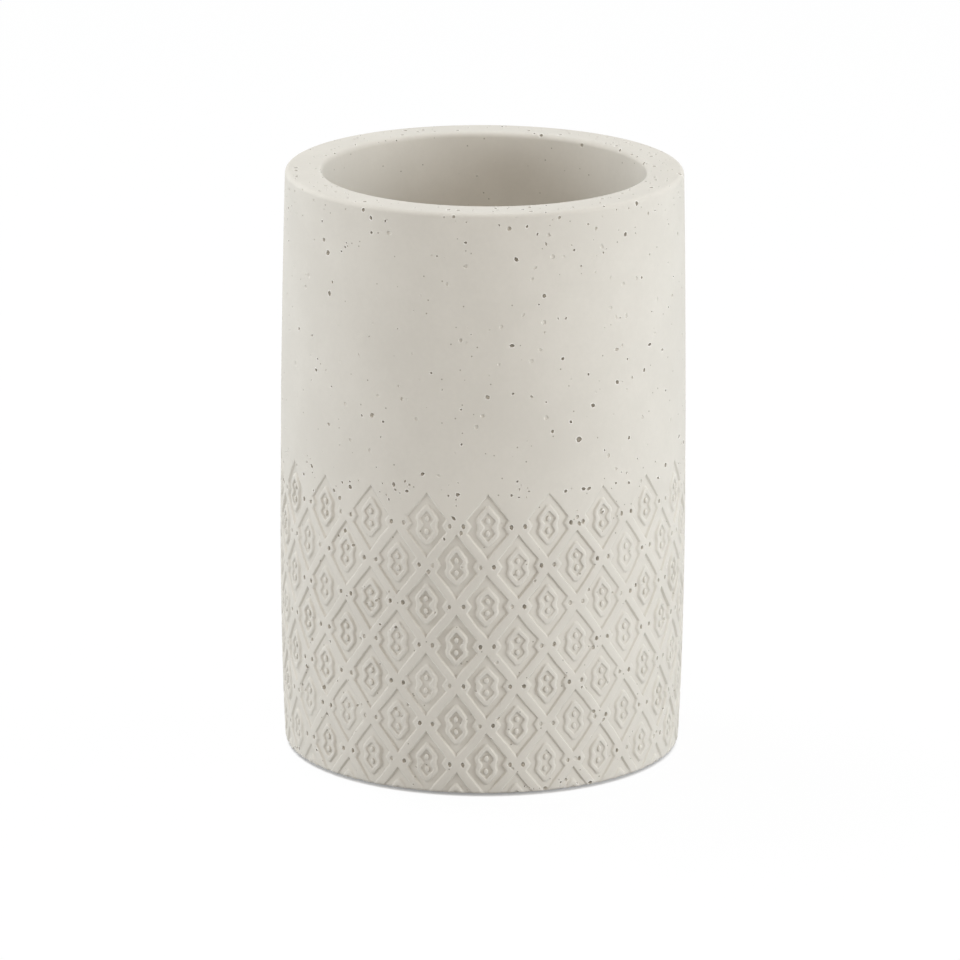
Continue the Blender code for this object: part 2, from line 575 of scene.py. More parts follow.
@dataclass(frozen=True)
class StudioPaper:
    """White background paper: the camera sees it as white, with only a breath of shadow.

    The shadow shows strongly just at the foot of what stands on the paper, as a fine dark line.
    The paper throws back less light than it shows, as a narrow sweep of paper does.
    """

    foot_radius: float
    white: str = "#FFFFFF"
    thrown_back: str = "#BCBCBC"
    shadow_share: float = 0.04
    foot_shadow_share: float = 0.75
    foot_fade: float = 0.6 * MM

    def material(self) -> Material:
        """Build the material.

        Returns:
            A material that the camera, mirrors and glass see as white.
        """
        paper = bpy.data.materials.new("background_paper")
        paper.use_nodes = True
        tree = paper.node_tree
        tree.nodes.clear()
        lit = add_node(paper, "ShaderNodeBsdfDiffuse", values={"Color": linear(self.white)})
        dim = add_node(paper, "ShaderNodeBsdfDiffuse", values={"Color": linear(self.thrown_back)})
        glow = add_node(
            paper,
            "ShaderNodeEmission",
            values={"Color": linear(self.white), "Strength": 1.0},
        )
        distance = add_node(
            paper,
            "ShaderNodeVectorMath",
            settings={"operation": "LENGTH"},
            links={0: add_node(paper, "ShaderNodeTexCoord").outputs["Object"]},
        )
        share = add_node(
            paper,
            "ShaderNodeMapRange",
            values={
                "From Min": self.foot_radius,
                "From Max": self.foot_radius + self.foot_fade,
                "To Min": self.foot_shadow_share,
                "To Max": self.shadow_share,
            },
            links={"Value": distance.outputs["Value"]},
        )
        faint = add_node(
            paper,
            "ShaderNodeMixShader",
            links={
                0: share.outputs["Result"],
                1: glow.outputs["Emission"],
                2: lit.outputs["BSDF"],
            },
        )
        result = add_node(
            paper,
            "ShaderNodeMixShader",
            links={0: seen_share(paper), 1: dim.outputs["BSDF"], 2: faint.outputs["Shader"]},
        )
        add_node(paper, "ShaderNodeOutputMaterial", links={"Surface": result.outputs["Shader"]})
        return paper


# The lattice.


def mirrored(quarter: Sequence[Point]) -> list[Point]:
    """Mirror the upper right quarter of an outline to the whole one, clockwise from its tip.

    Args:
        quarter: Points from the upper tip to the right side, both ends on an axis.

    Returns:
        The closed outline without a repeated point.
    """
    right = list(quarter) + [(x, -y) for x, y in reversed(quarter[:-1])]
    return right + [(-x, y) for x, y in reversed(right[1:-1])]


def offset_inward(outline: Sequence[Point], distance: float) -> list[Point]:
    """Move every side of a clockwise outline inward by the same distance.

    Args:
        outline: The corner points.
        distance: How far the sides move, outward if it is negative.

    Returns:
        The corners of the moved outline.
    """
    moved = []
    for index, corner in enumerate(outline):
        before = Vector(outline[index - 1])
        here = Vector(corner)
        after = Vector(outline[(index + 1) % len(outline)])
        side_in = (here - before).normalized()
        side_out = (after - here).normalized()
        normal_in = Vector((side_in.y, -side_in.x))
        normal_out = Vector((side_out.y, -side_out.x))
        mitre = (normal_in + normal_out) / (1 + normal_in.dot(normal_out))
        moved.append(tuple(here + mitre * distance))
    return moved


def softened(outline: Sequence[Point], cut: float) -> list[Point]:
    """Cut each corner of an outline, and halve the long sides that meet its tips.

    The middle points let the long sides follow the barrel once the sheet is rolled.

    Args:
        outline: The corner points, the tips on the line x = 0.
        cut: How far from the corner each side is cut, within a share of the side's length.

    Returns:
        The points of the softened outline.
    """
    points = []
    for index, corner in enumerate(outline):
        before = Vector(outline[index - 1])
        here = Vector(corner)
        after = Vector(outline[(index + 1) % len(outline)])
        for neighbour in (before, after):
            reach = min(cut, (neighbour - here).length * LONGEST_CUT)
            points.append(tuple(here + (neighbour - here).normalized() * reach))
        if min(abs(here.x), abs(after.x)) < SAME_PLACE:
            points.append(tuple((here + after) / 2))
    return points


@dataclass(frozen=True)
class MouldedStep:
    """A sloped wall between two levels, with a soft upper edge and a filled foot.

    The outline that it follows is the wall's middle, and its run is the width of the slope. Where
    the level inside the outline is the higher one, the step goes up.
    """

    outside: float
    inside: float
    run: float

    def section(self, edge: float, foot: float) -> list[Point]:
        """Return the step's section, from outside the outline to inside it.

        Args:
            edge: How much of the upper edge is rounded.
            foot: How much of the foot is filled.

        Returns:
            Points of the distance past the outline and the level.
        """
        upper, lower = max(self.outside, self.inside), min(self.outside, self.inside)
        half_run = self.run / 2
        points = [
            (-half_run - 0.6 * edge, upper),
            (-half_run + 0.4 * edge, upper - 0.6 * edge),
            (half_run - 0.4 * foot, lower + 0.6 * foot),
            (half_run + 0.8 * foot, lower),
        ]
        if self.inside > self.outside:
            return [(-distance, level) for distance, level in reversed(points)]
        return points


@dataclass
class DiamondCell:
    """One diamond of the lattice, modelled flat: x along the wall, y up and z out of it.

    The corner points of the outlines are those of the upper right quarter, from the upper tip to
    the right side. The pocket ends in the ear that the crossing of the bands pushes into it, and
    the boss and the trench in their waists. An island's shoulder and crown are shares of its
    width, height and rise, and each step of a dimple is a share of its size and of its depth.
    """

    half_width: float
    half_height: float
    pocket: tuple[Point, ...] = ((0.0, 6.08 * MM), (3.84 * MM, 1.22 * MM), (3.02 * MM, 0.0))
    boss: tuple[Point, ...] = ((0.0, 4.08 * MM), (2.26 * MM, 1.3 * MM), (1.66 * MM, 0.0))
    trench: tuple[Point, ...] = ((0.0, 2.72 * MM), (1.42 * MM, 1.14 * MM), (0.58 * MM, 0.0))
    island_height: float = 1.17 * MM
    island_half_size: Point = (0.46 * MM, 0.62 * MM)
    island_shoulder: tuple[float, float, float] = (0.84, 0.86, 0.8)
    island_crown: tuple[float, float, float] = (0.64, 0.7, 1.0)
    dimple_place: float = 4.44 * MM
    dimple_half_size: Point = (0.43 * MM, 0.53 * MM)
    dimple_steps: tuple[Point, ...] = ((0.9, 0.12), (0.7, 0.95))
    pocket_depth: float = 0.38 * MM
    trench_depth: float = 0.34 * MM
    island_set_back: float = 0.03 * MM
    dimple_depth: float = 0.6 * MM
    wall_run: float = 0.26 * MM
    trench_wall_run: float = 0.16 * MM
    edge_round: float = 0.1 * MM
    foot_round: float = 0.06 * MM
    pocket_cut: float = 0.12 * MM
    boss_cut: float = 0.5 * MM
    trench_cut: float = 0.24 * MM
    border_steps: int = 4
    small_sides: int = 8

    def build(self) -> bpy.types.Object:
        """Model the diamond.

        Returns:
            A flat sheet in the shape of the diamond, open along its border.
        """
        stand_clear()
        bpy.ops.mesh.primitive_circle_add(vertices=4 * self.border_steps, radius=self.half_width)
        cell = bpy.context.object
        cell.name = "diamond_cell"
        with editing(cell):
            bpy.ops.mesh.select_all(action="SELECT")
            self._seat(cell, self._border())
            step = MouldedStep(0.0, -self.pocket_depth, self.wall_run)
            pocket_wall = self._wall(self.pocket, self.pocket_cut, step)
            self._lay_loop(cell, pocket_wall[0])
            for side in (-1, 1):
                self._lay_loop(cell, self._dimple_loop(side, 1.0, 0.0))
            bpy.ops.mesh.select_all(action="SELECT")
            bpy.ops.mesh.fill(use_beauty=True)
            for side in (-1, 1):
                self._sink_dimple(cell, side)
            self._draw_pocket(cell, pocket_wall)
        list_faces_in_order(cell)
        return cell

    def _border(self) -> list[Vector]:
        """Lay out the diamond's border, clockwise from its upper tip.

        Returns:
            Evenly spaced points, as many on each side.
        """
        corners = mirrored(((0.0, self.half_height), (self.half_width, 0.0)))
        points = []
        for index, corner in enumerate(corners):
            after = Vector(corners[(index + 1) % len(corners)])
            for step in range(self.border_steps):
                place = Vector(corner).lerp(after, step / self.border_steps)
                points.append(Vector((place.x, place.y, 0.0)))
        return points

    def _wall(
        self, quarter: Sequence[Point], corner_cut: float, step: MouldedStep
    ) -> list[list[Vector]]:
        """Return the loops of a moulded step, each nearer to the diamond's middle.

        Args:
            quarter: The upper right quarter of the outline.
            corner_cut: How far from each corner its sides are cut.
            step: The step's levels outside and inside the outline, and its run.

        Returns:
            Loops of points, the outermost first.
        """
        outline = mirrored(quarter)
        loops = []
        for distance, level in step.section(self.edge_round, self.foot_round):
            flat = softened(offset_inward(outline, distance), corner_cut)
            loops.append([Vector((x, y, level)) for x, y in flat])
        return loops

    def _dimple_loop(self, side: int, scale: float, level: float) -> list[Vector]:
        """Lay out an oval loop of one dimple.

        Args:
            side: -1 for the left dimple and 1 for the right one.
            scale: The loop's share of the dimple's size.
            level: The loop's height above the wall.

        Returns:
            The loop's points.
        """
        wide, tall = self.dimple_half_size
        middle = Vector((side * self.dimple_place, 0.0, level))
        return self._oval(middle, wide * scale, tall * scale)

    def _oval(self, middle: Vector, wide: float, tall: float) -> list[Vector]:
        """Lay out an oval loop.

        Args:
            middle: The oval's centre.
            wide: Its half width.
            tall: Its half height.

        Returns:
            The loop's points.
        """
        points = []
        for index in range(self.small_sides):
            turn = math.tau * (index + 0.5) / self.small_sides
            points.append(middle + Vector((wide * math.sin(turn), tall * math.cos(turn), 0.0)))
        return points

    def _seat(self, cell: bpy.types.Object, points: Sequence[Vector]) -> None:
        """Move the selected vertices, in their own order, onto points.

        Args:
            cell: The diamond in edit mode.
            points: The new places, as many as there are selected vertices.
        """
        mesh = bmesh.from_edit_mesh(cell.data)
        loop = [vertex for vertex in mesh.verts if vertex.select]
        for vertex, point in zip(loop, points, strict=True):
            vertex.co = point
        bmesh.update_edit_mesh(cell.data)

    def _lay_loop(self, cell: bpy.types.Object, points: Sequence[Vector]) -> None:
        """Draw a new closed loop through points and leave it selected.

        Args:
            cell: The diamond in edit mode.
            points: The loop's corners.
        """
        bpy.ops.mesh.select_all(action="DESELECT")
        bpy.ops.mesh.primitive_circle_add(vertices=len(points), radius=self.half_width)
        self._seat(cell, points)

    def _pick_loop(self, cell: bpy.types.Object, points: Sequence[Vector]) -> None:
        """Select the vertices that lie on points."""
        wanted = {_place_key(point) for point in points}
        select_where(cell, lambda place: _place_key(place) in wanted)

    def _carry(
        self, cell: bpy.types.Object, start: Sequence[Vector], loops: Sequence[Sequence[Vector]]
    ) -> None:
        """Extrude the selected loop from one set of points through others, one by one.

        Args:
            cell: The diamond in edit mode.
            start: The points that the selected loop lies on.
            loops: The loops that it is drawn through, each with as many points.
        """
        before = start
        for loop in loops:
            target = {_place_key(old): new for old, new in zip(before, loop, strict=True)}
            bpy.ops.mesh.extrude_region_move(TRANSFORM_OT_translate={"value": (0.0, 0.0, 0.0)})
            shape_selected(cell, lambda place, target=target: target[_place_key(place)])
            before = loop

    def _sink_dimple(self, cell: bpy.types.Object, side: int) -> None:
        """Sink one dimple and close its bottom.

        Args:
            cell: The diamond in edit mode.
            side: -1 for the left dimple and 1 for the right one.
        """
        mouth = self._dimple_loop(side, 1.0, 0.0)
        self._pick_loop(cell, mouth)
        deeper = [
            self._dimple_loop(side, scale, -share * self.dimple_depth)
            for scale, share in self.dimple_steps
        ]
        self._carry(cell, mouth, deeper)
        bpy.ops.mesh.edge_face_add()
        bpy.ops.mesh.poke(offset=0.0)
        bpy.ops.mesh.select_all(action="DESELECT")

    def _draw_pocket(self, cell: bpy.types.Object, pocket_wall: list[list[Vector]]) -> None:
        """Draw the pocket inward from its mouth: wall, floor, boss, trench and islands.

        Args:
            cell: The diamond in edit mode.
            pocket_wall: The loops of the pocket's wall, the mouth first.
        """
        step_up = MouldedStep(-self.pocket_depth, 0.0, self.wall_run)
        boss_wall = self._wall(self.boss, self.boss_cut, step_up)
        step_down = MouldedStep(0.0, -self.trench_depth, self.trench_wall_run)
        trench_wall = self._wall(self.trench, self.trench_cut, step_down)
        self._pick_loop(cell, pocket_wall[0])
        self._carry(cell, pocket_wall[0], pocket_wall[1:] + boss_wall + trench_wall)
        self._raise_islands(cell, trench_wall[-1])

    def _raise_islands(self, cell: bpy.types.Object, shore: Sequence[Vector]) -> None:
        """Lay the trench's floor round two small islands and raise them.

        Args:
            cell: The diamond in edit mode.
            shore: The lowest loop of the trench's wall.
        """
        foot_scale = (1.0, 1.0, 0.0)
        feet = [self._island_loop(side, foot_scale) for side in (-1, 1)]
        for foot in feet:
            self._lay_loop(cell, foot)
        self._pick_loop(cell, list(shore) + feet[0] + feet[1])
        bpy.ops.mesh.fill(use_beauty=True)
        for side, foot in zip((-1, 1), feet, strict=True):
            self._pick_loop(cell, foot)
            rising = [
                self._island_loop(side, scale)
                for scale in (self.island_shoulder, self.island_crown)
            ]
            self._carry(cell, foot, rising)
            bpy.ops.mesh.edge_face_add()
            bpy.ops.mesh.select_all(action="DESELECT")

    def _island_loop(self, side: int, scale: tuple[float, float, float]) -> list[Vector]:
        """Lay out an oval loop of one island.

        Args:
            side: -1 for the lower island and 1 for the upper one.
            scale: Shares of the island's width, its height and its rise from the trench's floor.

        Returns:
            The loop's points.
        """
        wide, tall = self.island_half_size
        floor, top = -self.trench_depth, -self.island_set_back
        middle = Vector((0.0, side * self.island_height, floor + scale[2] * (top - floor)))
        return self._oval(middle, wide * scale[0], tall * scale[1])


def _place_key(place: Vector) -> tuple[int, int, int]:
    """Return a key that equal places share, to a tenth of a micrometre."""
    return (round(place.x * 1e7), round(place.y * 1e7), round(place.z * 1e7))


# The casting.


def on_circle(radius: float, angle: float, level: float) -> Vector:
    """Return the point at a radius, at an angle from the front and at a level."""
    return Vector((radius * math.sin(angle), -radius * math.cos(angle), level))


def angle_of(place: Vector) -> float:
    """Return the angle of a place round the axis, from the front towards +X."""
    return math.atan2(place.x, -place.y)


@dataclass
class CastingForm:
    """The barrel that the lattice lies on, its rim and its hollow.

    The first three sizes come from the frame. Heights are above the base edge. The rings across
    the hollow's floor and the recess's roof are shares of the radius round them.
    """

    base_level: float
    rim_level: float
    belly_radius: float
    belly_swell: float = 1.0 * MM
    belly_height: float = 37.0 * MM
    base_draw_in: float = 0.85 * MM
    rim_wall: float = 6.9 * MM
    rim_outer_round: float = 0.95 * MM
    rim_inner_round: float = 1.1 * MM
    hollow_taper: float = 1.1 * MM
    floor_thickness: float = 9.0 * MM
    floor_round: float = 4.5 * MM
    base_edge_round: float = 0.65 * MM
    base_land: float = 5.75 * MM
    recess_depth: float = 1.3 * MM
    columns: int = 21
    rows: int = 8
    lattice_top: float = 59.0 * MM
    lattice_collar: float = 1.2 * MM
    row_step: float = 7.62 * MM
    wall_rings: int = 18
    rim_round_steps: int = 5
    floor_round_steps: int = 6
    floor_rings: tuple[float, ...] = (0.7, 0.35, 0.1)
    roof_ring: float = 0.6

    @classmethod
    def from_frame(cls, node: str) -> CastingForm:
        """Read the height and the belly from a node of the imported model.

        Args:
            node: The name of the cup's node.

        Returns:
            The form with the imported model's sizes.
        """
        low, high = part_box(node)
        return cls(base_level=low.z, rim_level=high.z, belly_radius=max(high.x, high.y))

    @property
    def half_column(self) -> float:
        """Half the width of a diamond, along the belly."""
        return math.pi * self.belly_radius / self.columns

    def wall_radius(self, level: float) -> float:
        """Work out the outer wall's radius: two parabolas that meet at the belly.

        Args:
            level: The height in the frame.

        Returns:
            The radius.
        """
        above = level - (self.base_level + self.belly_height)
        if above > 0:
            upper = self.rim_level - self.base_level - self.belly_height
            return self.belly_radius - self.belly_swell * (above / upper) ** 2
        return self.belly_radius - self.base_draw_in * (above / self.belly_height) ** 2

    def hollow_radius(self, level: float) -> float:
        """Work out the hollow's radius, which tapers evenly from the rim to the floor.

        Args:
            level: The height in the frame.

        Returns:
            The radius.
        """
        floor = self.base_level + self.floor_thickness
        rim_radius = self.belly_radius - self.belly_swell - self.rim_wall
        share = (self.rim_level - level) / (self.rim_level - floor)
        return rim_radius - self.hollow_taper * share

    def upper_profile(self) -> list[Point]:
        """Draw the section from above the lattice, over the rim, to the hollow's floor.

        Returns:
            Points of radius and level, from just above the lattice to near the axis.
        """
        start = self.base_level + self.lattice_top + self.lattice_collar
        end = self.rim_level - self.rim_outer_round
        wall_levels = spread(start, end, self.wall_rings)[:-1]
        points = [(self.wall_radius(level), level) for level in wall_levels]
        outer = self.wall_radius(end) - self.rim_outer_round
        points += arc((outer, end), self.rim_outer_round, 0, 90, self.rim_round_steps)
        inner_level = self.rim_level - self.rim_inner_round
        inner = self.hollow_radius(inner_level) + self.rim_inner_round
        points += arc((inner, inner_level), self.rim_inner_round, 90, 180, self.rim_round_steps)
        floor = self.base_level + self.floor_thickness
        foot = floor + self.floor_round
        hollow_levels = spread(inner_level, foot, self.wall_rings)[1:-1]
        points += [(self.hollow_radius(level), level) for level in hollow_levels]
        floor_middle = self.hollow_radius(foot) - self.floor_round
        points += arc((floor_middle, foot), self.floor_round, 0, -90, self.floor_round_steps)
        points += [(floor_middle * share, floor) for share in self.floor_rings]
        return points

    def lower_profile(self) -> list[Point]:
        """Draw the section from the base edge into the pad's recess.

        Returns:
            Points of radius and level.
        """
        recess = self.belly_radius - self.base_draw_in - self.base_land
        roof = self.base_level + self.recess_depth
        return [(recess, self.base_level), (recess, roof), (recess * self.roof_ring, roof)]


def spread(start: float, end: float, steps: int) -> list[float]:
    """Return evenly spaced values from start to end, both included."""
    return [start + (end - start) * step / steps for step in range(steps + 1)]


def arc(middle: Point, radius: float, start: float, end: float, steps: int) -> list[Point]:
    """Return profile points on an arc, its angles in degrees up from the outward direction.

    Args:
        middle: The arc's centre, as a radius and a level.
        radius: The arc's own radius.
        start: The angle where it starts.
        end: The angle where it ends.
        steps: How many straight pieces it has.

    Returns:
        Points of radius and level, both ends included.
    """
    points = []
    for degrees in spread(start, end, steps):
        turn = math.radians(degrees)
        points.append((middle[0] + radius * math.cos(turn), middle[1] + radius * math.sin(turn)))
    return points


@dataclass
class LatticeWall:
    """The lattice, copied flat from one diamond and rolled round the barrel.

    Each trench and each dimple is cast to its own share of its full depth. A zone tells which part
    of a diamond belongs to one: the reach along the wall and the reach up, from the dimple's middle
    or the diamond's.
    """

    form: CastingForm
    seed: int = 11
    shallowest_trench: float = 0.75
    shallowest_dimple: float = 0.3
    deepest: float = 1.15
    dimple_zone: Point = (0.5 * MM, 0.8 * MM)
    trench_zone: Point = (1.45 * MM, 3.1 * MM)
    edge_cuts: tuple[float, ...] = (0.0, 0.1, 0.4, 1.0)
    weld_distance: float = 0.004 * MM
    kept_at_edge: float = 0.35
    uneven: float = 0.5
    uneven_size: float = 9.0 * MM
    wander: float = 0.22 * MM
    wander_size: float = 3.2 * MM

    def build(self) -> bpy.types.Object:
        """Model the lattice wall.

        Returns:
            A round wall, open along its zigzag top and along the base edge.
        """
        sheet = self._flat_sheet()
        self._trim(sheet)
        self._roll(sheet)
        with editing(sheet):
            bpy.ops.mesh.select_all(action="SELECT")
            bpy.ops.mesh.remove_doubles(threshold=self.weld_distance)
        return sheet

    def _flat_sheet(self) -> bpy.types.Object:
        """Copy one diamond into two rows, and these into a sheet with its levels as y.

        Returns:
            A flat sheet of all rows and columns.
        """
        form = self.form
        sheet = DiamondCell(form.half_column, form.row_step).build()
        sheet.name = "tumbler_casting"
        top_row = form.base_level + form.lattice_top - form.row_step
        with editing(sheet):
            bpy.ops.mesh.select_all(action="SELECT")
            bpy.ops.transform.translate(value=(0.0, top_row, 0.0))
            bpy.ops.mesh.duplicate_move(
                TRANSFORM_OT_translate={"value": (form.half_column, -form.row_step, 0.0)}
            )
        across = sheet.modifiers.new("columns", "ARRAY")
        across.count = form.columns
        across.use_relative_offset = False
        across.use_constant_offset = True
        across.constant_offset_displace = (2 * form.half_column, 0.0, 0.0)
        down = sheet.modifiers.new("row_pairs", "ARRAY")
        down.count = form.rows // 2
        down.use_relative_offset = False
        down.use_constant_offset = True
        down.constant_offset_displace = (0.0, -2 * form.row_step, 0.0)
        apply_modifier(sheet, across)
        apply_modifier(sheet, down)
        return sheet

    def _trim(self, sheet: bpy.types.Object) -> None:
        """Weld the sheet, cut it off at the base and score it where the base edge rounds.

        Args:
            sheet: The flat sheet.
        """
        form = self.form
        with editing(sheet):
            bpy.ops.mesh.select_all(action="SELECT")
            bpy.ops.mesh.remove_doubles(threshold=self.weld_distance)
            for share in self.edge_cuts:
                level = form.base_level + share * form.base_edge_round
                bpy.ops.mesh.select_all(action="SELECT")
                bpy.ops.mesh.bisect(
                    plane_co=(0.0, level, 0.0),
                    plane_no=(0.0, -1.0, 0.0),
                    clear_outer=share == 0.0,
                    threshold=self.weld_distance,
                )

    def _roll(self, sheet: bpy.types.Object) -> None:
        """Roll the sheet round the barrel, each diamond cast a little deeper or shallower.

        Args:
            sheet: The flat sheet.
        """
        form = self.form
        chance = random.Random(self.seed)
        # Unless it is seeded, the noise of _wandered follows the clock.
        noise.seed_set(self.seed)
        trench = self._cast_shares(chance, self.shallowest_trench, form.columns)
        dimple = self._cast_shares(chance, self.shallowest_dimple, 2 * form.columns)
        dimple_edge = DiamondCell.dimple_place - self.dimple_zone[0]
        for vertex in sheet.data.vertices:
            along, level, depth = vertex.co
            if depth < 0:
                row, column, across, up = self._diamond_at(along, level)
                if abs(across) > dimple_edge and abs(up) < self.dimple_zone[1]:
                    depth *= dimple[row][2 * column + (across > 0)]
                elif abs(across) < self.trench_zone[0] and abs(up) < self.trench_zone[1]:
                    depth *= trench[row][column]
            place = on_circle(form.wall_radius(level), along / form.belly_radius, level)
            depth *= 1.0 + self.uneven * noise.noise(place / self.uneven_size)
            depth *= self._share_kept(level)
            vertex.co = self._wandered(place, depth - self._edge_draw_in(level))

    def _cast_shares(self, chance: random.Random, least: float, count: int) -> list[list[float]]:
        """Draw by lot the share of its full depth to which each trench or dimple is cast.

        Args:
            chance: The source of chance.
            least: The share of the shallowest one.
            count: How many there are in a row.

        Returns:
            The shares, a list for each row.
        """
        return [
            [chance.uniform(least, self.deepest) for _ in range(count)]
            for _ in range(self.form.rows)
        ]

    def _wandered(self, place: Vector, lift: float) -> Vector:
        """Move a point of the wall a little aside, as in a mould cut by hand, and lift it.

        Args:
            place: The point on the barrel.
            lift: How far it stands out of the barrel.

        Returns:
            The point's final place.
        """
        form = self.form
        drift = noise.noise_vector(place / self.wander_size) * self.wander
        freedom = min((place.z - form.base_level) / self.wander_size, 1.0)
        angle = angle_of(place) + drift.x / form.belly_radius
        return on_circle(place.xy.length + lift, angle, place.z + drift.y * freedom)

    def _diamond_at(self, along: float, level: float) -> tuple[int, int, float, float]:
        """Find the diamond at a place of the flat sheet.

        Args:
            along: The distance along the wall, at the belly.
            level: The height in the frame.

        Returns:
            The diamond's row and column, and the offsets from its middle along the wall and up.
        """
        form = self.form
        best = (0, 0, math.inf, math.inf)
        top_row = form.base_level + form.lattice_top - form.row_step
        first = int((top_row - level) / form.row_step)
        for row in (first - 1, first, first + 1, first + 2):
            if not 0 <= row < form.rows:
                continue
            shift = form.half_column * (row % 2)
            column = round((along - shift) / (2 * form.half_column))
            across = along - shift - 2 * form.half_column * column
            up = level - (top_row - row * form.row_step)
            reach = abs(across) / form.half_column + abs(up) / form.row_step
            if reach < abs(best[2]) / form.half_column + abs(best[3]) / form.row_step:
                best = (row, column % form.columns, across, up)
        return best

    def _share_kept(self, level: float) -> float:
        """Return the share of the relief's depth that is kept at a level, less at the base edge."""
        above = (level - self.form.base_level) / (2 * self.form.base_edge_round)
        return self.kept_at_edge + (1.0 - self.kept_at_edge) * min(above, 1.0)

    def _edge_draw_in(self, level: float) -> float:
        """Work out how far the rounded base edge draws in.

        Args:
            level: The height in the frame.

        Returns:
            The distance, 0 above the rounding.
        """
        form = self.form
        below = form.base_edge_round - (level - form.base_level)
        if below <= 0:
            return 0.0
        return form.base_edge_round - math.sqrt(max(form.base_edge_round**2 - below**2, 0.0))


@dataclass(frozen=True)
class Bubble:
    """One open air bubble on the wall.

    Its angle is in degrees from the middle of the view, its height in millimetres above the base
    edge, and its radius in metres.
    """

    angle: float
    height: float
    radius: float


class BubbleZone(Enum):
    """Where the small bubbles and the dents are strewn."""

    WALL = "smooth outer wall"
    SHOULDER = "just above the lattice"
    LATTICE = "lattice"
    RIM = "rim"
    HOLLOW = "upper part of the hollow"
    BASE_EDGE = "rough places at the base edge"
    BELOW_RIM = "wall just below the rim"


@dataclass(frozen=True)
class Ball:
    """One lump that is cut out of the casting. A flatness below 1 makes a shallow dent of it."""

    middle: Vector
    normal: Vector
    radius: float
    flatness: float


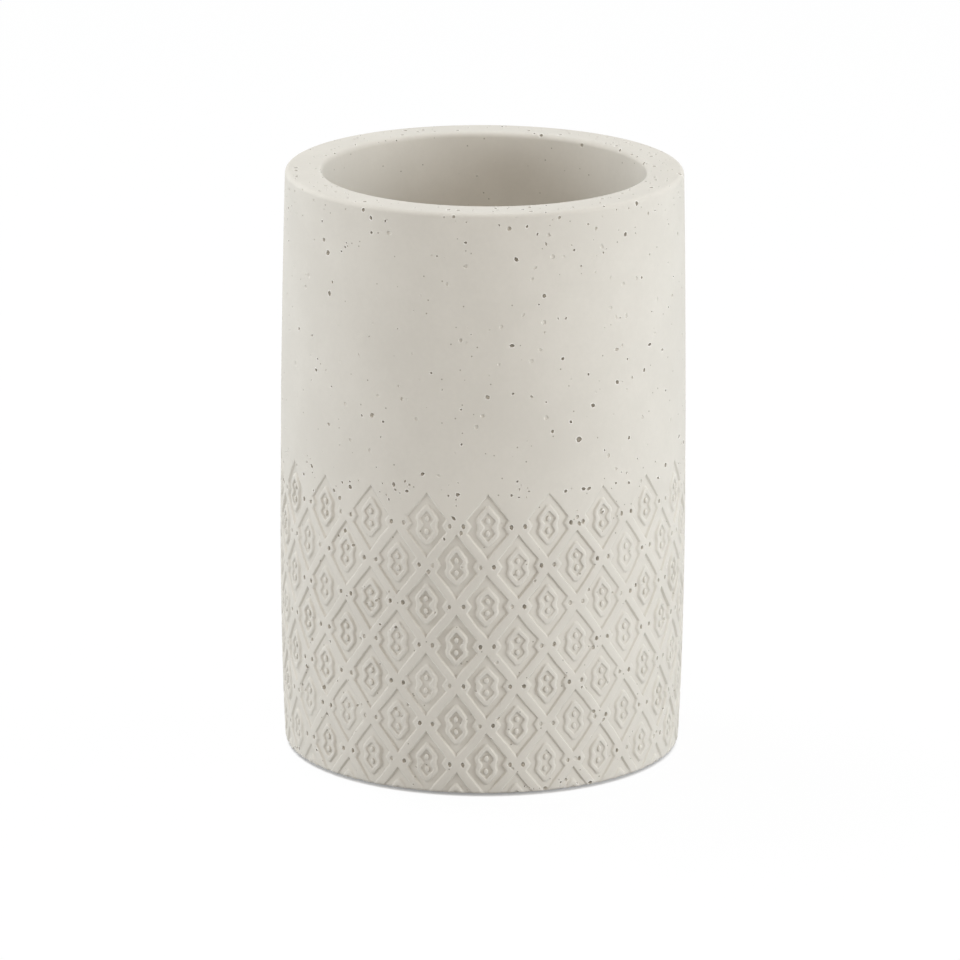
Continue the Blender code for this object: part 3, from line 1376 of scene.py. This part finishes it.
@dataclass
class AirBubbles:
    """The open air bubbles and the shallow dents of the casting, cut into its surface.

    The large ones lie at listed places on the front. The small ones are strewn, closer
    where a pour catches air: at the lattice's top, just below the rim, and in rough places along
    the base edge. Those places are angles in degrees from the middle of the view.
    """

    form: CastingForm
    view_turn: float
    seed: int = 5
    large: tuple[Bubble, ...] = (
        Bubble(27.5, 67.0, 0.54 * MM),
        Bubble(-50.0, 99.5, 0.5 * MM),
        Bubble(-49.0, 92.0, 0.48 * MM),
        Bubble(9.0, 101.5, 0.44 * MM),
        Bubble(32.0, 73.0, 0.44 * MM),
        Bubble(54.0, 82.0, 0.44 * MM),
        Bubble(29.0, 57.5, 0.4 * MM),
        Bubble(-40.0, 56.5, 0.4 * MM),
        Bubble(-17.0, 61.0, 0.38 * MM),
        Bubble(-7.0, 57.5, 0.38 * MM),
        Bubble(17.0, 94.5, 0.38 * MM),
        Bubble(51.5, 77.5, 0.38 * MM),
        Bubble(58.5, 56.0, 0.36 * MM),
        Bubble(45.0, 65.5, 0.34 * MM),
        Bubble(45.0, 57.0, 0.34 * MM),
        Bubble(-21.5, 57.5, 0.34 * MM),
        Bubble(23.5, 57.5, 0.33 * MM),
        Bubble(-61.0, 56.0, 0.33 * MM),
        Bubble(19.5, 69.0, 0.33 * MM),
        Bubble(25.0, 70.5, 0.32 * MM),
        Bubble(22.5, 82.5, 0.32 * MM),
        Bubble(12.0, 107.5, 0.3 * MM),
        Bubble(15.0, 106.0, 0.3 * MM),
        Bubble(-25.0, 57.5, 0.3 * MM),
        Bubble(-33.5, 105.0, 0.3 * MM),
        Bubble(-29.0, 107.5, 0.28 * MM),
        Bubble(26.0, 102.5, 0.28 * MM),
        Bubble(30.5, 79.0, 0.28 * MM),
        Bubble(-53.0, 105.0, 0.28 * MM),
        Bubble(63.0, 72.0, 0.28 * MM),
        Bubble(23.5, 90.0, 0.28 * MM),
        Bubble(-43.0, 57.0, 0.27 * MM),
        Bubble(40.0, 57.5, 0.27 * MM),
        Bubble(-29.0, 70.0, 0.26 * MM),
        Bubble(-54.0, 79.0, 0.26 * MM),
        Bubble(-57.0, 83.0, 0.26 * MM),
        Bubble(-27.0, 55.5, 0.26 * MM),
        Bubble(9.5, 60.0, 0.25 * MM),
        Bubble(10.0, 57.0, 0.25 * MM),
        Bubble(-36.0, 70.5, 0.25 * MM),
        Bubble(-6.0, 67.0, 0.25 * MM),
        Bubble(65.0, 87.5, 0.25 * MM),
    )
    strewn: dict[BubbleZone, int] = field(
        default_factory=lambda: {
            BubbleZone.WALL: 160,
            BubbleZone.SHOULDER: 110,
            BubbleZone.LATTICE: 270,
            BubbleZone.RIM: 220,
            BubbleZone.HOLLOW: 32,
            BubbleZone.BASE_EDGE: 90,
            BubbleZone.BELOW_RIM: 120,
        }
    )
    dents: dict[BubbleZone, int] = field(
        default_factory=lambda: {
            BubbleZone.WALL: 200,
            BubbleZone.LATTICE: 30,
        }
    )
    smallest: float = 0.21 * MM
    largest: float = 0.55 * MM
    small_ones_lead: float = 2.0
    growth_of_large: float = 1.25
    sunk_shares: Point = (-0.55, 0.4)
    sunk_share_of_large: float = 0.35
    dent_radii: Point = (0.25 * MM, 0.65 * MM)
    dent_flatness: Point = (0.4, 0.7)
    dent_sunk_share: float = -0.4
    lumpiness: Point = (0.84, 1.06)
    narrowest_share: float = 0.6
    clearance: float = 0.03 * MM
    round_from: float = 0.4 * MM
    below_rim_reach: float = 5.0 * MM
    shoulder_reach: float = 2.6 * MM
    shoulder_rise: float = 0.8 * MM
    shoulder_drift: float = 0.045
    rough_places: tuple[float, ...] = (14.5, 25.0, 130.0, 210.0, 290.0)
    rough_spread: float = 3.0
    rough_reach: float = 1.0 * MM
    hollow_reach: float = 20.0 * MM

    def cut_into(self, casting: bpy.types.Object) -> None:
        """Cut the bubbles into the casting.

        Args:
            casting: The closed mesh of the casting.
        """
        surface = BVHTree.FromObject(casting, bpy.context.evaluated_depsgraph_get())
        balls = self._balls(surface)
        cutter = self._cutter(balls)
        cut = casting.modifiers.new("open_bubbles", "BOOLEAN")
        cut.object = cutter
        cut.operation = "DIFFERENCE"
        cut.solver = "MANIFOLD"
        apply_modifier(casting, cut)
        bpy.data.objects.remove(cutter, do_unlink=True)
        log.info("open bubbles: %d", len(balls))

    def _balls(self, surface: BVHTree) -> list[Ball]:
        """Choose the balls to cut out, none touching another.

        Args:
            surface: The casting's surface.

        Returns:
            The large bubbles, the small ones and the dents.
        """
        chance = random.Random(self.seed)
        balls: list[Ball] = []
        for bubble in self.large:
            ray = self._ray_at(math.radians(bubble.angle) + self.view_turn, bubble.height * MM)
            size = bubble.radius * self.growth_of_large
            self._add(balls, surface, ray, size, self.sunk_share_of_large)
        for zone, count in self.strewn.items():
            for _ in range(count):
                growth = chance.random() ** self.small_ones_lead
                size = self.smallest + (self.largest - self.smallest) * growth
                sunk = chance.uniform(*self.sunk_shares)
                self._add(balls, surface, self._random_ray(zone, chance), size, sunk)
        for zone, count in self.dents.items():
            for _ in range(count):
                size = chance.uniform(*self.dent_radii)
                flatness = chance.uniform(*self.dent_flatness)
                ray = self._random_ray(zone, chance)
                self._add(balls, surface, ray, size, self.dent_sunk_share, flatness)
        return balls

    def _add(
        self,
        balls: list[Ball],
        surface: BVHTree,
        ray: tuple[Vector, Vector],
        radius: float,
        sunk_share: float,
        flatness: float = 1.0,
    ) -> None:
        """Add a ball where a ray meets the surface, unless it would touch another.

        Args:
            balls: The balls so far, to which the new one is added.
            surface: The casting's surface.
            ray: The ray's start and aim.
            radius: The ball's radius.
            sunk_share: How deep its middle lies, as a share of its half thickness.
            flatness: Its thickness, as a share of its width.
        """
        place, normal, _, _ = surface.ray_cast(*ray)
        if place is None:
            return
        if normal.dot(ray[1]) > 0:
            normal = -normal
        middle = place - normal * radius * flatness * sunk_share
        for other in balls:
            if (other.middle - middle).length < radius + other.radius + self.clearance:
                return
        balls.append(Ball(middle, normal, radius, flatness))

    def _ray_at(self, angle: float, height: float) -> tuple[Vector, Vector]:
        """Aim a level ray from outside at the axis.

        Args:
            angle: The angle round the axis that it comes from.
            height: Its height above the base edge.

        Returns:
            The ray's start and aim.
        """
        start = on_circle(2 * self.form.belly_radius, angle, self.form.base_level + height)
        aim = Vector((-start.x, -start.y, 0.0)).normalized()
        return start, aim

    def _random_ray(self, zone: BubbleZone, chance: random.Random) -> tuple[Vector, Vector]:
        """Aim a ray at a place of a zone, chosen by lot.

        Args:
            zone: The zone.
            chance: The source of chance.

        Returns:
            The ray's start and aim.
        """
        form = self.form
        angle = chance.uniform(-math.pi, math.pi)
        height = form.rim_level - form.base_level
        if zone is BubbleZone.WALL:
            top = height - form.rim_outer_round
            return self._ray_at(angle, chance.uniform(form.lattice_top, top))
        if zone is BubbleZone.BELOW_RIM:
            below = abs(chance.gauss(0.0, self.below_rim_reach)) + 0.5 * form.rim_outer_round
            return self._ray_at(angle, height - below)
        if zone is BubbleZone.SHOULDER:
            between = (math.pi / form.columns) * (2 * chance.randrange(form.columns) + 1)
            below = abs(chance.gauss(0.0, self.shoulder_reach))
            turn = between + chance.gauss(0.0, self.shoulder_drift)
            return self._ray_at(turn, form.lattice_top - below + self.shoulder_rise)
        if zone is BubbleZone.LATTICE:
            return self._ray_at(angle, chance.uniform(form.base_edge_round, form.lattice_top))
        if zone is BubbleZone.BASE_EDGE:
            place = chance.choice(self.rough_places) + chance.gauss(0.0, self.rough_spread)
            turn = math.radians(place) + self.view_turn
            return self._ray_at(turn, abs(chance.gauss(0.0, self.rough_reach)))
        if zone is BubbleZone.RIM:
            inner = form.hollow_radius(form.rim_level)
            radius = chance.uniform(inner, form.wall_radius(form.rim_level))
            start = on_circle(radius, angle, 2 * form.rim_level)
            return start, Vector((0.0, 0.0, -1.0))
        below = abs(chance.gauss(0.0, self.hollow_reach))
        level = form.rim_level - below - 2 * form.rim_inner_round
        return Vector((0.0, 0.0, level)), on_circle(1.0, angle, 0.0)

    def _cutter(self, balls: Sequence[Ball]) -> bpy.types.Object:
        """Copy one ball to every place, each lumpy in its own way, and join them in one cutter.

        Args:
            balls: Where the balls lie.

        Returns:
            An object that holds them all.
        """
        chance = np.random.default_rng(self.seed)
        rough, fine = self._ball_model(1), self._ball_model(2)
        all_corners, all_faces = [], []
        count = 0
        for ball in balls:
            corners, faces = fine if ball.radius >= self.round_from else rough
            spin = Matrix.Rotation(chance.uniform(0.0, math.pi), 3, "Z")
            turn = np.array(ball.normal.to_track_quat("Z", "Y").to_matrix() @ spin)
            narrow = chance.uniform(self.narrowest_share, 1.0)
            oval = np.array([narrow, 1.0, ball.flatness]) * ball.radius
            lumps = chance.uniform(*self.lumpiness, (len(corners), 1))
            all_corners.append((corners * lumps * oval) @ turn.T + np.array(ball.middle))
            all_faces.append(faces + count)
            count += len(corners)
        mesh = bpy.data.meshes.new("bubbles")
        mesh.from_pydata(np.concatenate(all_corners), [], np.concatenate(all_faces).tolist())
        cutter = bpy.data.objects.new("bubbles", mesh)
        bpy.context.scene.collection.objects.link(cutter)
        return cutter

    def _ball_model(self, subdivisions: int) -> tuple[np.ndarray, np.ndarray]:
        """Model a ball with a radius of 1.

        Args:
            subdivisions: How fine the ball is.

        Returns:
            Its corners and the corner numbers of its faces.
        """
        stand_clear()
        bpy.ops.mesh.primitive_ico_sphere_add(subdivisions=subdivisions, radius=1.0)
        model = bpy.context.object
        corners = np.array([vertex.co[:] for vertex in model.data.vertices])
        faces = np.array([face.vertices[:] for face in model.data.polygons])
        bpy.data.objects.remove(model, do_unlink=True)
        return corners, faces


@dataclass
class Tumbler:
    """The casting: lattice wall, smooth wall, rim, hollow and the recess of the underside."""

    form: CastingForm
    finish: CastStone
    view_turn: float
    node: str = "cup_body"
    soft_angle: float = 48.0
    sway: float = 0.05 * MM
    sway_size: float = 17.0 * MM
    still_radius: float = 17.0 * MM

    def build(self) -> bpy.types.Object:
        """Model and dress the casting.

        Returns:
            The finished piece, which stands for the cup's node.
        """
        casting = LatticeWall(self.form).build()
        self._draw_on(casting, True, self.form.upper_profile())
        self._draw_on(casting, False, self.form.lower_profile())
        self._settle(casting)
        with editing(casting):
            bpy.ops.mesh.select_all(action="SELECT")
            bpy.ops.mesh.normals_make_consistent(inside=False)
        list_faces_in_order(casting)
        AirBubbles(self.form, self.view_turn).cut_into(casting)
        self._smooth(casting)
        casting.data.materials.clear()
        casting.data.materials.append(self.finish.material())
        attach(casting, "root")
        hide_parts(self.node)
        return casting

    def _draw_on(
        self, casting: bpy.types.Object, upward: bool, profile: Sequence[Point]
    ) -> None:
        """Extrude the lattice's upper or lower edge through a profile's rings, and close it.

        Args:
            casting: The lattice wall.
            upward: Whether to start from the upper edge.
            profile: Radius and level of each ring.
        """
        middle_level = self.form.base_level + self.form.lattice_top / 2
        with editing(casting):
            bpy.ops.mesh.select_non_manifold(
                extend=False,
                use_wire=False,
                use_boundary=True,
                use_multi_face=False,
                use_non_contiguous=False,
                use_verts=False,
            )
            mesh = bmesh.from_edit_mesh(casting.data)
            for vertex in mesh.verts:
                if vertex.select and (vertex.co.z > middle_level) != upward:
                    vertex.select = False
            mesh.select_flush_mode()
            bmesh.update_edit_mesh(casting.data)
            for radius, level in profile:
                bpy.ops.mesh.extrude_region_move(TRANSFORM_OT_translate={"value": (0.0, 0.0, 0.0)})
                shape_selected(
                    casting,
                    lambda place, radius=radius, level=level: on_circle(
                        radius, angle_of(place), level
                    ),
                )
            bpy.ops.mesh.edge_face_add()

    def _settle(self, casting: bpy.types.Object) -> None:
        """Let the walls sway by less than a hair's breadth, as a casting from a soft mould does.

        Args:
            casting: The closed mesh of the casting.
        """
        for vertex in casting.data.vertices:
            place = vertex.co
            sideways = Vector((place.x, place.y, 0.0))
            if sideways.length < self.still_radius:
                continue
            amount = noise.noise(place / self.sway_size) * self.sway
            vertex.co = place + sideways.normalized() * amount

    def _smooth(self, casting: bpy.types.Object) -> None:
        """Shade the soft edges smooth and keep the flats flat.

        Args:
            casting: The finished mesh.
        """
        pick(casting)
        bpy.ops.object.shade_smooth_by_angle(angle=math.radians(self.soft_angle))
        weighted = casting.modifiers.new("flat_faces_lead", "WEIGHTED_NORMAL")
        weighted.mode = "FACE_AREA"
        weighted.keep_sharp = True
        apply_modifier(casting, weighted)


@dataclass
class BasePad:
    """The round foam pad, its upper face stuck in the recess and its lower edge pressed round."""

    finish: CellFoam
    node: str = "base_pad"
    sides: int = 120
    edge_round: float = 0.45 * MM
    edge_segments: int = 4
    edge_profile: float = 0.6
    flat_share: float = 0.75
    edge_from: float = 0.9
    soft_angle: float = 35.0

    def build(self) -> bpy.types.Object:
        """Model and dress the pad.

        Returns:
            The finished piece, which stands for the pad's node.
        """
        low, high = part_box(self.node)
        radius = max(high.x, high.y)
        middle_level = (low.z + high.z) / 2
        stand_clear()
        bpy.ops.mesh.primitive_cylinder_add(
            vertices=self.sides,
            radius=radius,
            depth=high.z - low.z,
            location=(0.0, 0.0, middle_level),
        )
        pad = bpy.context.object
        pad.name = "foam_pad"
        bpy.ops.object.transform_apply(location=True, rotation=True, scale=True)
        with editing(pad):
            select_where(pad, lambda place: place.z < middle_level)
            bpy.ops.mesh.inset(thickness=(1.0 - self.flat_share) * radius)
            edge_radius = self.edge_from * radius
            select_where(
                pad,
                lambda place: place.z < middle_level and place.xy.length > edge_radius,
            )
            bpy.ops.mesh.bevel(
                offset=self.edge_round,
                segments=self.edge_segments,
                profile=self.edge_profile,
                affect="EDGES",
            )
        pick(pad)
        bpy.ops.object.shade_smooth_by_angle(angle=math.radians(self.soft_angle))
        pad.data.materials.clear()
        pad.data.materials.append(self.finish.material())
        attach(pad, "root")
        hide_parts(self.node)
        return pad


# The studio.


@dataclass(frozen=True)
class ViewPoint:
    """The photograph's camera: a long lens, a little above the rim and a hair off the front."""

    turn: float = math.radians(-1.32)
    elevation: float = math.radians(15.46)
    distance: float = 1361.6 * MM
    roll: float = math.radians(0.29)
    aim_right: float = -0.56 * MM
    aim_height: float = 50.42 * MM
    focal_share: float = 7254.6 / 960
    sensor: float = 36.0
    nearest: float = 0.05
    farthest: float = 20.0

    def build(self) -> bpy.types.Object:
        """Set up the camera.

        Returns:
            The scene's camera.
        """
        right = Vector((math.cos(self.turn), math.sin(self.turn), 0.0))
        away = Vector((math.sin(self.turn), -math.cos(self.turn), 0.0))
        back = away * math.cos(self.elevation) + Vector((0.0, 0.0, math.sin(self.elevation)))
        up = right.cross(-back)
        turned_right = right * math.cos(self.roll) + up * math.sin(self.roll)
        turned_up = up * math.cos(self.roll) - right * math.sin(self.roll)
        target = right * self.aim_right + Vector((0.0, 0.0, self.aim_height))
        place = target + back * self.distance
        lens = bpy.data.cameras.new("studio_camera")
        lens.sensor_width = self.sensor
        lens.lens = self.focal_share * self.sensor
        lens.clip_start = self.nearest
        lens.clip_end = self.farthest
        camera = bpy.data.objects.new("studio_camera", lens)
        bpy.context.scene.collection.objects.link(camera)
        camera.matrix_world = _frame_at(place, (turned_right, turned_up, back))
        bpy.context.scene.camera = camera
        return camera


def _frame_at(place: Vector, axes: tuple[Vector, Vector, Vector]) -> Matrix:
    """Return the placement whose X, Y and Z axes and origin are given."""
    columns = [tuple(axis) + (0.0,) for axis in axes] + [tuple(place) + (1.0,)]
    return Matrix(columns).transposed()


@dataclass(frozen=True)
class Softbox:
    """A large square soft lamp that faces the tumbler's middle, its angles in degrees."""

    name: str
    azimuth: float
    elevation: float
    power: float
    light: str = "#F5FAFF"
    distance: float = 1.1
    size: float = 0.45

    def build(self, aim: Vector) -> bpy.types.Object:
        """Hang the lamp.

        Args:
            aim: The place that the lamp faces.

        Returns:
            The lamp.
        """
        turn, rise = math.radians(self.azimuth), math.radians(self.elevation)
        away = Vector(
            (math.sin(turn) * math.cos(rise), -math.cos(turn) * math.cos(rise), math.sin(rise))
        )
        glow = bpy.data.lights.new(self.name, "AREA")
        glow.size = self.size
        glow.energy = self.power
        glow.color = linear(self.light)[:3]
        lamp = bpy.data.objects.new(self.name, glow)
        bpy.context.scene.collection.objects.link(lamp)
        lamp.location = aim + away * self.distance
        lamp.rotation_mode = "QUATERNION"
        lamp.rotation_quaternion = away.to_track_quat("Z", "Y")
        return lamp


@dataclass
class Studio:
    """White paper in a white room, softboxes at both sides and behind, and a dim warm front."""

    middle: Vector
    foot_radius: float
    room_light: float = 0.39
    floor_reach: float = 6.0
    sag: float = 0.02 * MM
    lamps: tuple[Softbox, ...] = (
        Softbox("right_softbox", 65.0, 10.0, 6.5),
        Softbox("left_softbox", -85.0, 10.0, 5.7),
        Softbox("high_softbox", -130.0, 60.0, 5.5),
        Softbox("rear_softbox", 110.0, 35.0, 2.7),
        Softbox("front_fill", 0.0, 35.0, 2.3, light="#FFF3E6"),
    )

    def build(self) -> None:
        """Lay the paper, hang the lamps and set the plain look of the picture."""
        self._paper()
        for lamp in self.lamps:
            lamp.build(self.middle)
        self._room()
        bpy.context.scene.view_settings.view_transform = "Standard"

    def _paper(self) -> None:
        """Lay the sheet of paper that the tumbler stands on, a hair below the pad's sole."""
        stand_clear()
        bpy.ops.mesh.primitive_plane_add(size=self.floor_reach, location=(0.0, 0.0, -self.sag))
        paper = bpy.context.object
        paper.name = "studio_paper"
        paper.data.materials.append(StudioPaper(self.foot_radius).material())

    def _room(self) -> None:
        """Light the room evenly, and let the camera, mirrors and glass see it as white."""
        world = bpy.data.worlds.new("white_room")
        bpy.context.scene.world = world
        world.use_nodes = True
        world.node_tree.nodes.clear()
        strength = add_node(
            world,
            "ShaderNodeMapRange",
            values={"To Min": self.room_light, "To Max": 1.0},
            links={"Value": seen_share(world)},
        )
        glow = add_node(
            world,
            "ShaderNodeBackground",
            values={"Color": linear("#FFFFFF")},
            links={"Strength": strength.outputs["Result"]},
        )
        add_node(world, "ShaderNodeOutputWorld", links={"Surface": glow.outputs["Background"]})


def main() -> None:
    """Build the tumbler, its pad and the studio, and report each piece."""
    logging.basicConfig(level=logging.INFO, format="%(name)s: %(message)s")
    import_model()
    view = ViewPoint()
    view.build()
    form = CastingForm.from_frame("cup_body")
    casting = Tumbler(form, CastStone(), view.turn).build()
    log.info("casting: %d triangles", triangle_count(casting))
    pad = BasePad(CellFoam()).build()
    log.info("pad: %d triangles", triangle_count(pad))
    foot_radius = form.wall_radius(form.base_level) - form.base_edge_round
    Studio(Vector((0.0, 0.0, form.rim_level / 2)), foot_radius).build()


if __name__ == "__main__":
    main()
